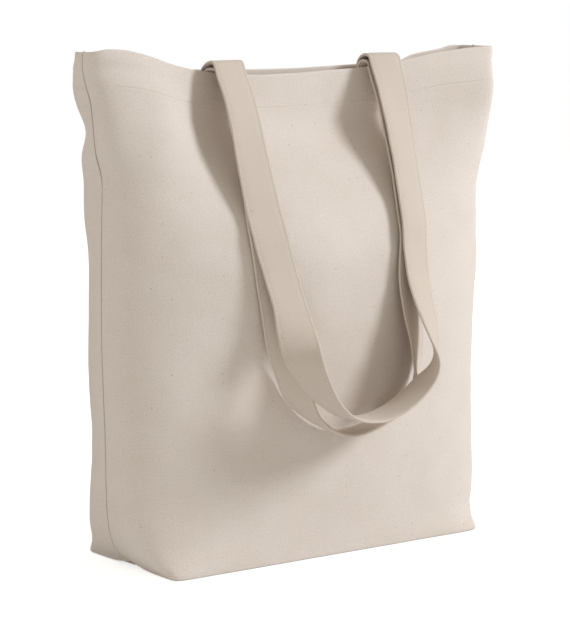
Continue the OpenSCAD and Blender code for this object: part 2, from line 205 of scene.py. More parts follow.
def canvasFinish(name, look):
    # plain weave of uneven yarns, with painted shade between them, cotton seed flecks, and painted shade
    # along the side seams
    finish, tree, shader = newFinish(name, canvasLook["rough"])
    place = grow(tree, "UVMap", uv_map="cloth").outputs[0]
    wander = grow(tree, "TexNoise", {"Vector": place, "Scale": canvasLook["wanderScale"],
                                     "Detail": 2.0}).outputs["Color"]
    centred = grow(tree, "VectorMath", {0: wander, 1: (0.5, 0.5, 0.5)}, operation="SUBTRACT").outputs[0]
    wide = look["pitch"] * canvasLook["wander"]
    shift = grow(tree, "VectorMath", {0: centred, "Scale": wide}, operation="SCALE").outputs[0]
    uneven = grow(tree, "VectorMath", {0: place, 1: shift}, operation="ADD").outputs[0]
    parts = grow(tree, "SeparateXYZ", {0: uneven}).outputs
    across, along = (calc(tree, "DIVIDE", parts[k], look["pitch"]) for k in (0, 1))
    warp, weft = (calc(tree, "ABSOLUTE", calc(tree, "SINE", calc(tree, "MULTIPLY", s, math.pi)))
                  for s in (across, along))
    cell = calc(tree, "ADD", calc(tree, "FLOOR", across), calc(tree, "FLOOR", along))
    over = calc(tree, "MODULO", cell, 2.0)

    def yarnTop(own, other):
        # round across, and lower toward both ends of the crossing
        dip = calc(tree, "MULTIPLY_ADD", other, 0.45, 0.55)
        return calc(tree, "MULTIPLY", calc(tree, "POWER", own, 0.6), dip)

    warpTop, weftTop = yarnTop(warp, weft), yarnTop(weft, warp)
    yarn = grow(tree, "Mix", {0: over, 2: warpTop, 3: weftTop}, data_type="FLOAT").outputs[0]

    streaks = []
    for stretch in canvasLook["streaks"]:
        laid = grow(tree, "VectorMath", {0: place, 1: stretch}, operation="MULTIPLY").outputs[0]
        streaks.append(grow(tree, "TexNoise", {"Vector": laid, "Scale": 1.0, "Detail": 3.0}).outputs[0])
    slub = calc(tree, "MULTIPLY", calc(tree, "ADD", *streaks), 0.5)
    fibre = grow(tree, "TexNoise", {"Vector": place, "Scale": canvasLook["fibreScale"],
                                    "Detail": 4.0}).outputs[0]
    cloud = grow(tree, "TexNoise", {"Vector": place, "Scale": canvasLook["cloudScale"],
                                    "Detail": 3.0}).outputs[0]

    # painted shade: the canvas darkens where the yarns dip, in the gaps between them; slubs, fibres and
    # clouds below add random tone
    tone = calc(tree, "MULTIPLY", calc(tree, "SUBTRACT", 1.0, yarn), canvasLook["yarnGapShade"])
    for value, (low, high), strength in ((slub, canvasLook["slubRange"], canvasLook["slubs"]),
                                         (fibre, canvasLook["fibreRange"], look["grain"]),
                                         (cloud, canvasLook["cloudRange"], canvasLook["clouds"])):
        spread = grow(tree, "MapRange", {0: value, 1: low, 2: high}, clamp=True).outputs[0]
        tone = calc(tree, "ADD", tone, calc(tree, "MULTIPLY", spread, strength))
    colour = tint(tree, tone, look["colour"], look["shade"])

    specks = grow(tree, "TexVoronoi", {"Vector": place, "Scale": canvasLook["fleckScale"],
                                       "Randomness": 1.0}, voronoi_dimensions="2D")
    lot = grow(tree, "SeparateColor", {0: specks.outputs["Color"]}).outputs
    size = calc(tree, "MULTIPLY_ADD", calc(tree, "POWER", lot[1], 3.0), *canvasLook["fleckSize"])
    reach = calc(tree, "MULTIPLY", calc(tree, "GREATER_THAN", lot[0], 1 - look["flecks"]), size)
    near = specks.outputs["Distance"]
    seed = grow(tree, "MapRange", {0: near, 1: 0.0, 2: reach, 3: 1.0, 4: 0.0}, clamp=True)
    faint = calc(tree, "MULTIPLY", seed.outputs[0], canvasLook["fleckStrength"])
    colour = tint(tree, faint, colour, look["fleck"])
    # a painted shade line along each side seam, standing in for the shade in the seam's groove
    for seamAt in look["seams"]:
        placeAcross = grow(tree, "SeparateXYZ", {0: place}).outputs[0]
        away = calc(tree, "ABSOLUTE", calc(tree, "SUBTRACT", placeAcross, seamAt))
        line = {0: away, 1: canvasLook["seamCore"], 2: canvasLook["seamReach"],
                3: canvasLook["seamStrength"], 4: 0.0}
        gap = grow(tree, "MapRange", line, clamp=True).outputs[0]
        colour = tint(tree, gap, colour, canvasLook["seamShade"])
    tree.links.new(colour, shader.inputs["Base Color"])

    fine = grow(tree, "Bump", {"Strength": look["weave"], "Distance": canvasLook["yarnRelief"],
                               "Height": yarn})
    height = calc(tree, "ADD", calc(tree, "MULTIPLY", slub, 0.5), fibre)
    coarse = grow(tree, "Bump", {"Strength": canvasLook["relief"], "Distance": canvasLook["slubRelief"],
                                 "Height": height, "Normal": fine.outputs[0]})
    tree.links.new(coarse.outputs[0], shader.inputs["Normal"])
    return finish


threadLook = {"rough": 0.7, "relief": 0.5, "reliefDeep": 0.1 * mm, "fuzzScale": 1500.0,
              "slant": (2600.0, 5200.0),
              "sewing": ((0.80, 0.74, 0.67, 1), (0.62, 0.54, 0.45, 1)),
              "overlock": ((0.72, 0.65, 0.55, 1), (0.45, 0.36, 0.27, 1))}


def threadFinish(name, colour, shade):
    # spun thread: slanting plies with painted shade in the grooves between them, and a little fuzz
    finish, tree, shader = newFinish(name, threadLook["rough"])
    place = grow(tree, "UVMap", uv_map="cloth").outputs[0]
    parts = grow(tree, "SeparateXYZ", {0: place}).outputs
    around, along = threadLook["slant"]
    slant = calc(tree, "MULTIPLY_ADD", parts[1], along, calc(tree, "MULTIPLY", parts[0], around))
    ply = calc(tree, "ABSOLUTE", calc(tree, "SINE", slant))
    fuzz = grow(tree, "TexNoise", {"Vector": place, "Scale": threadLook["fuzzScale"],
                                   "Detail": 2.0}).outputs[0]
    # painted shade in the grooves between the plies, mixed with random fuzz tone
    plyShadeAndFuzz = calc(tree, "MULTIPLY", calc(tree, "ADD", calc(tree, "SUBTRACT", 1.0, ply), fuzz), 0.5)
    tree.links.new(tint(tree, plyShadeAndFuzz, colour, shade), shader.inputs["Base Color"])
    bump = grow(tree, "Bump", {"Strength": threadLook["relief"], "Distance": threadLook["reliefDeep"],
                               "Height": calc(tree, "ADD", ply, fuzz)})
    tree.links.new(bump.outputs[0], shader.inputs["Normal"])
    return finish


canvas = canvasFinish("bag canvas", bagCloth)
strapping = canvasFinish("strap canvas", strapCloth)
thread = threadFinish("sewing thread", *threadLook["sewing"])
overlockThread = threadFinish("overlock thread", *threadLook["overlock"])
print("finishes made")

# the bag's shape
frontLow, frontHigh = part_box("front_panel")
bag = {
    "high": frontHigh.z,
    "baseHalf": frontHigh.x - 43.7 * mm,
    "baseDeep": -frontLow.y,
    "bulge": 25 * mm, "bulgeOver": 15 * mm,      # the sides bow out just above the boxed corners
    "cloth": 0.9 * mm, "fold": 1.1 * mm, "hem": 30 * mm, "stitchDown": 27 * mm,
    "baseFold": 1.6 * mm, "seamRoll": 1.4 * mm, "allowance": 10 * mm,
    "hitch": 3.5 * mm, "hitchWide": 16 * mm,     # each side is drawn up a little at the base
    "endSharp": 3.5,                             # how near the ends the half depth stays the middle's
    "sagFrom": 0.55, "sagOver": 0.45,            # shares of the height over which the rim's sag sets in
    "facing": 0.15 * mm,                         # half the gap that is kept between the two panels
    "margin": 20 * mm,                           # where the flat cloth starts in the weave's own plane
    "proud": 0.1 * mm, "proudOver": 0.8 * mm,    # how far the doubled hem stands out
    "drawn": 0.06 * mm, "drawnWide": 0.8 * mm,   # and how far its stitching draws it in
}
# the cloth's unevenness, and where it evens out: near the side seams, the base and the rim
ripples = {"long": (210 * mm, 45 * mm, 9, 0.5 * mm), "short": (38 * mm, 12 * mm, 12, 0.05 * mm),
           "seamCalm": 45 * mm, "baseCalm": 60 * mm, "atBase": 0.25,
           "rimFrom": 300 * mm, "rimOver": 100 * mm, "rimLoss": 0.65}
# the bag's floor: it is a little hollow up to the seam along its middle, whose allowance stands up inside
bottom = {"hollow": 1.2 * mm, "hollowTo": 0.93, "hollowEnd": 25 * mm, "ridge": 1.3 * mm,
          "ridgeWide": 1.1 * mm, "seamUp": (1.6, 4, 7, 10), "seamStep": 2.5 * mm, "cornerIn": (0.004, 0.02)}
# how far each side stands out in mm, by height. The left one is mostly what a measuring script worked out,
# and the rims below may be too, so these aren't design values
leftSide = [(0, 0), (84, -0.5), (188, 2), (264, 1), (300, 0), (325, 5.8), (345, 7.8), (360, 9.5), (376, 14),
            (390, 16.5), (400, 16.4)]
rightSide = [(0, 0), (60, 3), (130, 4), (190, 6.5), (225, 9.5), (250, 7), (285, 1), (325, 9.5), (362, 17),
             (385, 18.5), (400, 22)]
# how square each panel's two ends are up the bag: 2 is an ellipse, and 30 nearly a rectangle
frontSquare = ([(0, 40), (3, 16), (8, 7.5), (14, 5), (25, 3.6), (60, 2.6), (235, 2.2), (300, 2.1), (345, 2),
                (385, 2.2), (400, 3.4)],
               [(0, 40), (3, 16), (8, 7), (14, 4.8), (22, 3.8), (90, 2.8), (235, 2.7), (300, 4.6), (340, 8),
                (400, 25)])
backSquare = ([(0, 40), (3, 16), (8, 7.5), (14, 5), (22, 4), (90, 3.1), (235, 2.9), (300, 4.6), (340, 6),
               (362, 8), (385, 5.5), (400, 4.6)],
              [(0, 40), (3, 16), (8, 7), (14, 5), (22, 3.9), (90, 2.9), (235, 2.9), (300, 4), (400, 6)])
# half depths at the middle and near the ends, up the bag: full below, nearly shut at the mouth
middleDeep = [(0, 65), (235, 65), (262, 61.5), (280, 55.5), (300, 44), (322, 31), (343, 18), (360, 10),
              (385, 8), (400, 7)]
endDeep = [(0, 65), (240, 65), (268, 63), (300, 55), (345, 41), (365, 36), (385, 30), (400, 26)]
frontLeftDeep = [(0, 65), (240, 65), (268, 64), (300, 61), (345, 54), (370, 46), (385, 39), (400, 30)]
# how far the middle of each panel swells out
belly = [(0, 0), (60, 3), (140, 5), (250, 5), (300, 3), (350, 0), (400, 0)]
# how far each rim rises or sags, from left to right
frontRim = [(-194, 2), (-178, 4.3), (-165, 3.6), (-150, 0.7), (-135, -3.3), (-120, -7.8), (-90, -13.9),
            (-45, -18.2), (-30, -18.7), (45, -16.5), (90, -13.7), (125, -8.1), (150, -3.9), (194, 0)]
backRim = [(-194, 2), (-178, 1), (-150, -4), (-90, -13.5), (0, -15), (45, -14), (90, -12.5), (120, -11.7),
           (138, -6.6), (173, -2.3), (186, 0), (194, 0)]
# dents: place from the left seam and height, reach across and up, lean in degrees, depth
frontDents = [(285, 38, 42, 13, 40, 1.6), (240, 60, 50, 14, 32, -1.2), (330, 30, 30, 12, 50, 1.2),
              (120, 330, 26, 60, 0, 2.0), (300, 200, 90, 60, 20, -1.5), (62, 352, 30, 42, 0, -10),
              (150, 350, 40, 20, 0, -4.5)]
backDents = [(38, 340, 30, 17, 0, 8.0), (130, 120, 60, 30, 25, 1.6), (330, 90, 50, 22, -30, 1.8),
             (300, 300, 60, 70, 10, 2.0)]
arc = 2 * (bag["baseHalf"] + bag["baseDeep"])  # cloth from side seam to side seam


def sectionRow(side, level):
    # one level of a panel, from the left seam to the right: x, y and the outward direction
    middle, end, frontLeft = (through(level, *knots) for knots in (middleDeep, endDeep, frontLeftDeep))
    half = bag["baseHalf"] + bag["bulge"] * (1 - math.exp(-level / bag["bulgeOver"]))
    left, right = half + through(level, *leftSide), half + through(level, *rightSide)
    turn = np.linspace(0, math.pi, 1600)
    c, s = np.cos(turn), np.sin(turn)
    ends = frontSquare if side < 0 else backSquare
    square = np.where(c > 0, through(level, *ends[0]), through(level, *ends[1])) / mm
    reach = (np.abs(c) ** square + np.abs(s) ** square) ** (-1 / square)
    x = -np.where(c > 0, left, right) * reach * c
    nearEnds = np.where((side < 0) & (c > 0), frontLeft, end)
    deep = mix(middle, nearEnds, (reach * np.abs(c)) ** bag["endSharp"])
    y = side * (deep * reach * s + through(level, *belly) * ease(1 - np.abs(c * reach)))
    run = np.concatenate([[0], np.cumsum(np.hypot(np.diff(x), np.diff(y)))])
    at = columns / arc * run[-1]
    x, y = np.interp(at, run, x), np.interp(at, run, y)
    tangent = unit(np.stack([np.gradient(x), np.gradient(y)], -1))
    return x, y, side * np.stack([-tangent[:, 1], tangent[:, 0]], -1)


nearSeam = np.array([0, 0.4, 0.8, 1.2, 1.8, 2.8, 4.5, 7]) * mm
between = np.linspace(nearSeam[-1], arc - nearSeam[-1], 141)[1:-1]
columns = np.concatenate([nearSeam, between, arc - nearSeam[::-1]])
fromSeam = np.minimum(columns, arc - columns)
flapStops = (1, 0.6, 0.25)  # shares of an allowance's width at which it has a line of points
cornerRises = (2, 5, 9)     # heights in mm of the rows that turn up inside a boxed corner


def dented(level, dents):
    depth = np.zeros(len(columns))
    for u, z, across, up, lean, deep in dents:
        a = math.radians(lean)
        dx, dz = columns - u * mm, level - z * mm
        p = (dx * math.cos(a) + dz * math.sin(a)) / (across * mm)
        q = (dz * math.cos(a) - dx * math.sin(a)) / (up * mm)
        depth += deep * mm * np.exp(-p * p - q * q)
    return depth


def rowsOf():
    # each row of a panel: level, how far it is set in, its lift, and how much of the seam's roll is left
    r, fold, top, hem = bag["baseFold"], bag["fold"], bag["high"], bag["hem"]
    rows = [(r, r * (1 - math.cos(a)), -r * math.sin(a), 1) for a in np.radians([90, 67, 45, 22])]
    foot = top - hem
    rows += [(z, 0, 0, 1) for z in np.arange(r, foot - 3 * mm, 3 * mm)]
    line = top - bag["stitchDown"]
    near = [foot - 1.6 * mm, foot - 0.8 * mm, foot, foot + 0.8 * mm, line - 1.2 * mm, line - 0.6 * mm, line,
            line + 0.6 * mm, line + 1.2 * mm]
    rows += [(z, 0, 0, 1) for z in near]
    rows += [(z, 0, 0, 1) for z in np.linspace(line + 3 * mm, top - fold, 12)]
    for a in np.radians([22, 45, 67, 90, 113, 135, 158]):
        rows.append((top - fold, fold * (1 - math.cos(a)), fold * math.sin(a), (1 + math.cos(a)) / 2))
    rows += [(z, 2 * fold, 0, 0) for z in np.linspace(top - fold, foot + 0.6 * mm, 14)]
    rows += [(foot, 1.9 * fold, 0, 0), (foot - 0.3 * mm, 1.5 * fold, 0, 0),
             (foot + 0.3 * mm, 1.15 * fold, 0, 0)]
    return rows


def hemRelief(level):
    # the doubled hem stands a little proud, and its stitching draws it in
    foot, line = bag["high"] - bag["hem"], bag["high"] - bag["stitchDown"]
    proud = bag["proud"] * ease((level - foot + bag["proudOver"]) / (2 * bag["proudOver"]))
    return proud - bag["drawn"] * math.exp(-((level - line) / bag["drawnWide"]) ** 2)


def panelWall(side, rows, rim, dents):
    # the face, the sides and the turned-in hem: a grid of points from the base up and back down inside
    roll = bag["seamRoll"]
    e = np.clip(fromSeam, 0, roll)
    rolled = roll - np.sqrt(roll ** 2 - (roll - e) ** 2)
    levels = np.array([r[0] for r in rows])
    uu, zz = np.meshgrid(columns, levels)
    upward = mix(ripples["atBase"], 1, ease(levels / ripples["baseCalm"]))
    calm = ease(fromSeam / ripples["seamCalm"]) * upward[:, None]
    calm *= (1 - ripples["rimLoss"] * ease((levels - ripples["rimFrom"]) / ripples["rimOver"]))[:, None]
    swell = calm * (ripple(uu, zz, *ripples["long"]) + ripple(uu, zz, *ripples["short"]))
    points = []
    for k, (level, inset, lift, curl) in enumerate(rows):
        x, y, out = sectionRow(side, level)
        push = swell[k] - dented(level, dents) * ease(fromSeam / (12 * mm)) + hemRelief(level)
        push = push - inset - curl * rolled
        px, py = x + out[:, 0] * push, y + out[:, 1] * push
        py = side * np.maximum(side * py, bag["facing"])
        sag = through(x, *rim) * ease((level / bag["high"] - bag["sagFrom"]) / bag["sagOver"])
        hitch = bag["hitch"] * np.exp(-(fromSeam / bag["hitchWide"]) ** 2) * math.exp(-level / (12 * mm))
        points.append(np.stack([px, py, level + lift + sag + hitch], -1))
    return np.array(points)


def withAllowances(points, rows):
    # seam allowances run inward from both side seams, and shrink where the hem holds them
    levels = np.array([r[0] for r in rows])
    run = np.concatenate([[0], np.cumsum(np.abs(np.diff(levels)) + np.abs(np.diff([r[1] for r in rows])))])
    spare = bag["allowance"] * np.where(levels < bag["high"] - bag["hem"] - 1 * mm, 1, 0.1)
    spare *= np.where(np.arange(len(levels)) > np.argmax(levels), 0.2, 1)

    def flap(edge, inward, order):
        strips = [edge + np.stack([inward * spare * t, 0 * spare, 0 * spare], -1) for t in order]
        return np.stack(strips, 1)

    left, right = flap(points[:, 0], 1, flapStops), flap(points[:, -1], -1, flapStops[::-1])
    wide = [columns[0] + bag["margin"] - bag["allowance"] * t for t in flapStops]
    wide += list(columns + bag["margin"])
    wide += [columns[-1] + bag["margin"] + bag["allowance"] * t for t in flapStops[::-1]]
    up = run[:, None] + bag["baseDeep"] + bag["margin"]
    cloth = np.stack(np.broadcast_arrays(np.array(wide)[None, :], up), -1)
    return np.concatenate([left, points, right], 1), cloth


def floorRows(side, edge, edgeCloth):
    # half of the bag's floor, from the panel's foot to the seam along its middle, then that seam's allowance
    deep = np.abs(edge[:, 1])
    stops = np.concatenate([np.linspace(0, 1, 17)[1:-1], [0.955, 0.97, 0.98, 0.99]])
    base, baseCloth = [edge], [edgeCloth]
    for t in stops:
        away = deep * (1 - t)
        hollow = bottom["hollow"] * math.sin(math.pi * min(1, t / bottom["hollowTo"]))
        hollow = hollow * ease((bag["baseHalf"] - np.abs(edge[:, 0])) / bottom["hollowEnd"])
        lift = hollow + bottom["ridge"] * np.exp(-(away / bottom["ridgeWide"]) ** 2)
        base.append(np.stack([edge[:, 0], side * np.maximum(away, bag["facing"]), lift], -1))
        baseCloth.append(edgeCloth - [0, t * bag["baseDeep"]])
    for rise in bottom["seamUp"]:
        base.append(np.stack([edge[:, 0], 0 * deep + side * bag["facing"], 0 * deep + rise * mm], -1))
        baseCloth.append(baseCloth[-1] - [0, bottom["seamStep"]])
    return base, baseCloth


def makePanel(name, side, rim, dents):
    rows = rowsOf()
    points, cloth = withAllowances(panelWall(side, rows, rim, dents), rows)
    count = points.shape[0] * points.shape[1]
    ids = np.arange(count).reshape(points.shape[:2])
    faces = [quads(ids)]
    allPoints, allCloth = [points.reshape(-1, 3)], [cloth.reshape(-1, 2)]

    extra = len(flapStops)
    inside = (columns > bag["baseDeep"] - 1 * mm) & (columns < arc - bag["baseDeep"] + 1 * mm)
    middle = np.flatnonzero(inside) + extra
    base, baseCloth = floorRows(side, points[0, middle], cloth[0, middle])
    new = np.arange((len(base) - 1) * len(middle)).reshape(len(base) - 1, len(middle)) + count
    faces.append(quads(np.concatenate([ids[0, middle][None], new]))[:, ::-1])
    allPoints.append(np.array(base[1:]).reshape(-1, 3))
    allCloth.append(np.array(baseCloth[1:]).reshape(-1, 2))
    count += new.size

    # below each side the cloth turns up inside, where the boxed corner is sewn
    inX, inY = bottom["cornerIn"]
    for part in (np.arange(extra, middle[0] + 1), np.arange(middle[-1], len(columns) + extra)):
        start = points[0, part]
        up = [start * [1 - inX * rise, 1 - inY * rise, 1] + [0, 0, rise * mm] for rise in cornerRises]
        new = np.arange(len(up) * len(part)).reshape(len(up), len(part)) + count
        faces.append(quads(np.concatenate([ids[0, part][None], new]))[:, ::-1])
        allPoints.append(np.array(up).reshape(-1, 3))
        allCloth.append(np.array([cloth[0, part] - [0, rise * mm] for rise in cornerRises]).reshape(-1, 2))
        count += new.size

    faces = np.concatenate(faces)
    if side > 0:
        faces = faces[:, ::-1]
    piece = makePiece(name + "_cloth", np.concatenate(allPoints), faces, canvas, np.concatenate(allCloth))
    thick = piece.modifiers.new("cloth", "SOLIDIFY")
    thick.thickness, thick.offset = bag["cloth"], -1
    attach(piece, "bag")
    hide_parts(name + "_panel")
    return piece, points[:, extra:-extra]


frontCloth, frontGrid = makePanel("front", -1, frontRim, frontDents)
backCloth, backGrid = makePanel("back", 1, backRim, backDents)
rowLevel = np.array([r[0] for r in rowsOf()])
rimRow = int(np.argmax(frontGrid[:, len(columns) // 2, 2]))
print("panels made")


def wallAt(grid, x, z):
    # y of a panel's outer face at places across and heights
    rows = grid[4:rimRow, fromSeam > 20 * mm]
    found = []
    for px, pz in zip(np.atleast_1d(x), np.atleast_1d(z)):
        ys = [np.interp(px, r[:, 0], r[:, 1]) for r in rows]
        zs = [np.interp(px, r[:, 0], r[:, 2]) for r in rows]
        found.append(np.interp(pz, zs, ys))
    return np.array(found)


def rimAt(grid, x):
    row = grid[rimRow, fromSeam > 20 * mm]
    return np.interp(x, row[:, 0], row[:, 2])


strap = {"wide": 30 * mm, "thick": 2.2 * mm, "stitchIn": 2.5 * mm, "groove": 0.3 * mm, "puff": 0.18 * mm,
         "step": 1.6 * mm, "footUp": 8.5 * mm, "lap": 0.9 * mm, "leanOver": 9 * mm, "footSteps": 16,
         "held": 40 * mm, "freeOver": 30 * mm,
         "bow": (90 * mm, 25 * mm, 6, 0.35 * mm), "cup": (140 * mm, 60 * mm, 4, 0.5 * mm),
         "widths": (60 * mm, 20 * mm, 5, 0.006)}
# how each loop hangs from its left foot to its right: across, out from the middle of the bag, height, and
# the turn of the strap's face in degrees. A fitting script solved these stops, and some were moved
# afterwards, so they aren't design values. Foot, lean and rise are where the strap passes over the rim
frontLoop = {"foot": (-69, 83), "lean": 3.3, "rise": (1.8, 3.6),
             "path": [(-65.5, 14, 386, -8), (-64, 34, 342, -6), (-64.4, 49.3, 297, -2),
                      (-65.5, 64, 255.5, 9), (-61, 71, 211, 19.5), (-56, 79, 166, 42.5),
                      (-42.3, 85.5, 121, 91), (0.5, 87, 104, 109),
                      (57, 84.5, 123.5, 117.5), (72, 79.5, 159, 143), (68.5, 73.5, 210.5, 161),
                      (75.4, 66.6, 257.4, 172), (80.1, 52.3, 298, 173), (83.5, 34.5, 345, 178),
                      (86, 14, 386.5, 184)]}
backLoop = {"foot": (-69, 85), "lean": 0.3, "rise": (5, 7.3),
            "path": [(-70.5, 20, 390, -4), (-70, 39.5, 349, -3), (-67, 52, 303, 4.5),
                     (-64.5, 67.5, 257, 8.5),
                     (-56.3, 81, 206.1, 8), (-58.8, 104.5, 166.1, 59), (-36.3, 115.5, 128, 88),
                     (11.5, 109, 117.5, 87), (54.5, 110, 141.7, 99), (70.2, 101.5, 170.2, 138),
                     (72.1, 80, 218.4, 161), (74.3, 69.6, 263.3, 167), (79.2, 54.5, 305.1, 168),
                     (81, 40, 349, 173), (84.5, 20, 390, 186)]}


def curveThrough(stops, steps=10):
    # an even curve that passes through every stop
    t = np.linspace(0, 1, steps, endpoint=False)[:, None]
    p = np.concatenate([[2 * stops[0] - stops[1]], stops, [2 * stops[-1] - stops[-2]]])
    parts = []
    for a, b, c, d in zip(p[:-3], p[1:-2], p[2:-1], p[3:]):
        bend = (a - 2.5 * b + 2 * c - d / 2) * t ** 2 + (1.5 * (b - c) + (d - a) / 2) * t ** 3
        parts.append(b + (c - a) * t / 2 + bend)
    return np.concatenate(parts + [stops[-1:]])


def strapEnd(loop, k, stop, side, grid):
    # from the sewn foot up inside the mouth and over the front rim, to the first stop of the hanging loop
    x = loop["foot"][k] * mm
    rim = rimAt(frontGrid, x)
    z = np.linspace(bag["high"] - bag["hem"] - strap["footUp"], rim, strap["footSteps"])
    layers = 2 * bag["fold"] + strap["lap"] + strap["thick"] / 2
    flat = wallAt(grid, np.full(len(z), x), z) - side * layers
    y = mix(flat, -loop["lean"] * mm, ease((z - z[-1] + strap["leanOver"]) / strap["leanOver"]))
    foot = np.stack([np.full(len(z), x), y, z, np.full(len(z), k * math.pi)], -1)
    bend = np.linspace(0, math.pi, 14)[1:-1, None]
    arch = mix(foot[-1], stop, (1 - np.cos(bend)) / 2)
    arch[:, 2:3] += loop["rise"][k] * mm * np.sin(bend)
    return np.concatenate([foot, arch])


def strapLine(loop, side, grid):
    stops = np.array(loop["path"], float) * [mm, -mm, mm, math.pi / 180]
    left, right = strapEnd(loop, 0, stops[0], side, grid), strapEnd(loop, 1, stops[-1], side, grid)
    line = np.concatenate([left, curveThrough(stops), right[::-1]])
    run = lengthAlong(line[:, :3])
    at = np.linspace(0, run[-1], int(run[-1] / strap["step"]) + 1)
    line = pickAt(line, run, at)
    for _ in range(4):
        line[1:-1] = (line[:-2] + 2 * line[1:-1] + line[2:]) / 4
    centre, turn = line[:, :3], line[:, 3]
    along = unit(np.gradient(centre, axis=0))
    across = np.stack([np.cos(turn), -np.sin(turn), 0 * turn], -1)
    across = unit(across - (across * along).sum(1, keepdims=True) * along)
    return at, centre, across, np.cross(along, across)


def strapProfile():
    # half of the cross section: places across and the thickness there
    half, t, line = strap["wide"] / 2, strap["thick"] / 2, strap["wide"] / 2 - strap["stitchIn"]
    inner = [0, 4 * mm, 8 * mm, line - 1.2 * mm, line - 0.5 * mm, line, line + 0.5 * mm, line + 1.1 * mm]
    edge = [half - t + t * math.sin(a) for a in np.radians([0, 30, 55, 75])]
    w = np.array(inner + edge)
    n = t * np.sqrt(1 - np.clip((w - half + t) / t, 0, 1) ** 2)
    n -= strap["groove"] * np.exp(-((w - line) / (0.5 * mm)) ** 2)
    n += strap["puff"] * np.clip(1 - (w / line) ** 2, 0, 1)
    w, n = np.append(w, half), np.append(n, 0)
    return np.concatenate([-w[:0:-1], w]), np.concatenate([n[:0:-1], n])


def makeStrap(name, loop, side, grid):
    at, centre, across, normal = strapLine(loop, side, grid)
    w, n = strapProfile()
    w = np.concatenate([w, w[-2:0:-1]])
    n = np.concatenate([n, -n[-2:0:-1]])
    girth = np.concatenate([[0], np.cumsum(np.hypot(np.diff(w), np.diff(n)))])
    held, over = strap["held"], strap["freeOver"]
    free = ease((at - held) / over) * ease((at[-1] - held - at) / over)
    bow = free * ripple(at, 0 * at, *strap["bow"])
    cup = free * ripple(at, 0 * at + 1, *strap["cup"])
    wide = 1 + free * ripple(at, 0 * at + 2, *strap["widths"])
    rise = n[None, :] + bow[:, None] + cup[:, None] * (1 - (w[None, :] / strap["wide"] * 2) ** 2)
    points = centre[:, None] + across[:, None] * (w[None, :] * wide[:, None])[:, :, None]
    points = points + normal[:, None] * rise[:, :, None]
    ids = np.arange(points.shape[0] * points.shape[1]).reshape(points.shape[:2])
    ring = np.concatenate([ids, ids[:, :1]], 1)
    faces = quads(ring)[:, ::-1].tolist() + [ids[0].tolist(), ids[-1][::-1].tolist()]
    cloth = np.stack(np.broadcast_arrays(girth[None, :] + 0.01, at[:, None] + 0.01), -1)
    piece = makePiece(name, points.reshape(-1, 3), faces, strapping, cloth.reshape(-1, 2))
    half, line = strap["wide"] / 2, strap["wide"] / 2 - strap["stitchIn"]
    rows = []
    for where in (-line, line):
        for face in (1, -1):
            lift = bow + cup * (1 - (where / half) ** 2)
            lift = lift + face * (strap["thick"] / 2 - strap["groove"] * 0.8)
            rows.append((centre + across * (where * wide)[:, None] + normal * lift[:, None], normal * face))
    return piece, rows


def stitchesAlong(path, normal, pitch, length):
    run = lengthAlong(path)
    starts = np.arange(pitch / 2, run[-1] - length, pitch)
    up = unit(pickAt(normal, run, starts + length / 2))
    return pickAt(path, run, starts), pickAt(path, run, starts + length), up


def sew(name, stitches, thick, finish=None):
    # each stitch is a short length of thread that dips into the cloth at both ends
    start, end, up = (np.concatenate([s[k] for s in stitches]) for k in range(3))
    along = unit(end - start)
    side = unit(np.cross(along, up))
    share = np.array([0, 0.14, 0.5, 0.86, 1])
    height = np.array([-0.75, 0.1, 0.3, 0.1, -0.75]) * thick
    radius = np.array([0.3, 0.9, 1, 0.9, 0.3]) * thick / 2
    turn = np.linspace(0, 2 * math.pi, 7)[:-1]
    middle = mix(start[:, None], end[:, None], share[None, :, None]) + up[:, None] * height[None, :, None]
    around = side[:, None] * np.cos(turn)[None, :, None] + up[:, None] * np.sin(turn)[None, :, None]
    points = middle[:, :, None] + around[:, None] * radius[None, :, None, None]
    count, steps, sides = len(start), len(share), len(turn)
    ids = np.arange(count * steps * sides).reshape(count, steps, sides)
    ring = np.concatenate([ids, ids[:, :, :1]], 2)
    faces = np.concatenate([quads(r) for r in ring]).tolist()
    faces += ids[:, 0, ::-1].tolist() + ids[:, -1].tolist()
    length = np.linalg.norm(end - start, axis=1)
    place = np.zeros((count, steps, sides, 2))
    place[..., 0] = turn[None, None, :] * thick / 2
    place[..., 1] = share[None, :, None] * length[:, None, None] + np.arange(count)[:, None, None] * 0.7 * mm
    piece = makePiece(name, points.reshape(-1, 3), faces, finish or thread, place.reshape(-1, 2))
    return piece


seam = {"thick": 0.55 * mm, "pitch": 3.0 * mm, "length": 2.3 * mm, "tackWide": 20 * mm, "tackLow": 363 * mm,
        "tackHigh": 377 * mm, "tackPitch": 2.6 * mm, "tackLength": 2.0 * mm, "hemThick": 0.42 * mm,
        "proud": 0.05 * mm}
# each loop's side and panel, and the y in mm between which its strap passes from the bag's body to its own
loops = {"front": (frontLoop, -1, frontGrid, -6, -15), "back": (backLoop, 1, backGrid, 3, -19)}
for name, (loop, side, grid, begin, finish) in loops.items():
    piece, rows = makeStrap(name + "_strap", loop, side, grid)
    lines = [stitchesAlong(path, normal, seam["pitch"], seam["length"]) for path, normal in rows]
    topstitch = sew(name + "_strap_topstitching", lines, seam["thick"])
    for part in (piece, topstitch):
        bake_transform(part)
    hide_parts(name + "_handle", name + "_left_handle_end", name + "_right_handle_end")
    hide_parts(name + "_handle_stitching")
print("straps made")

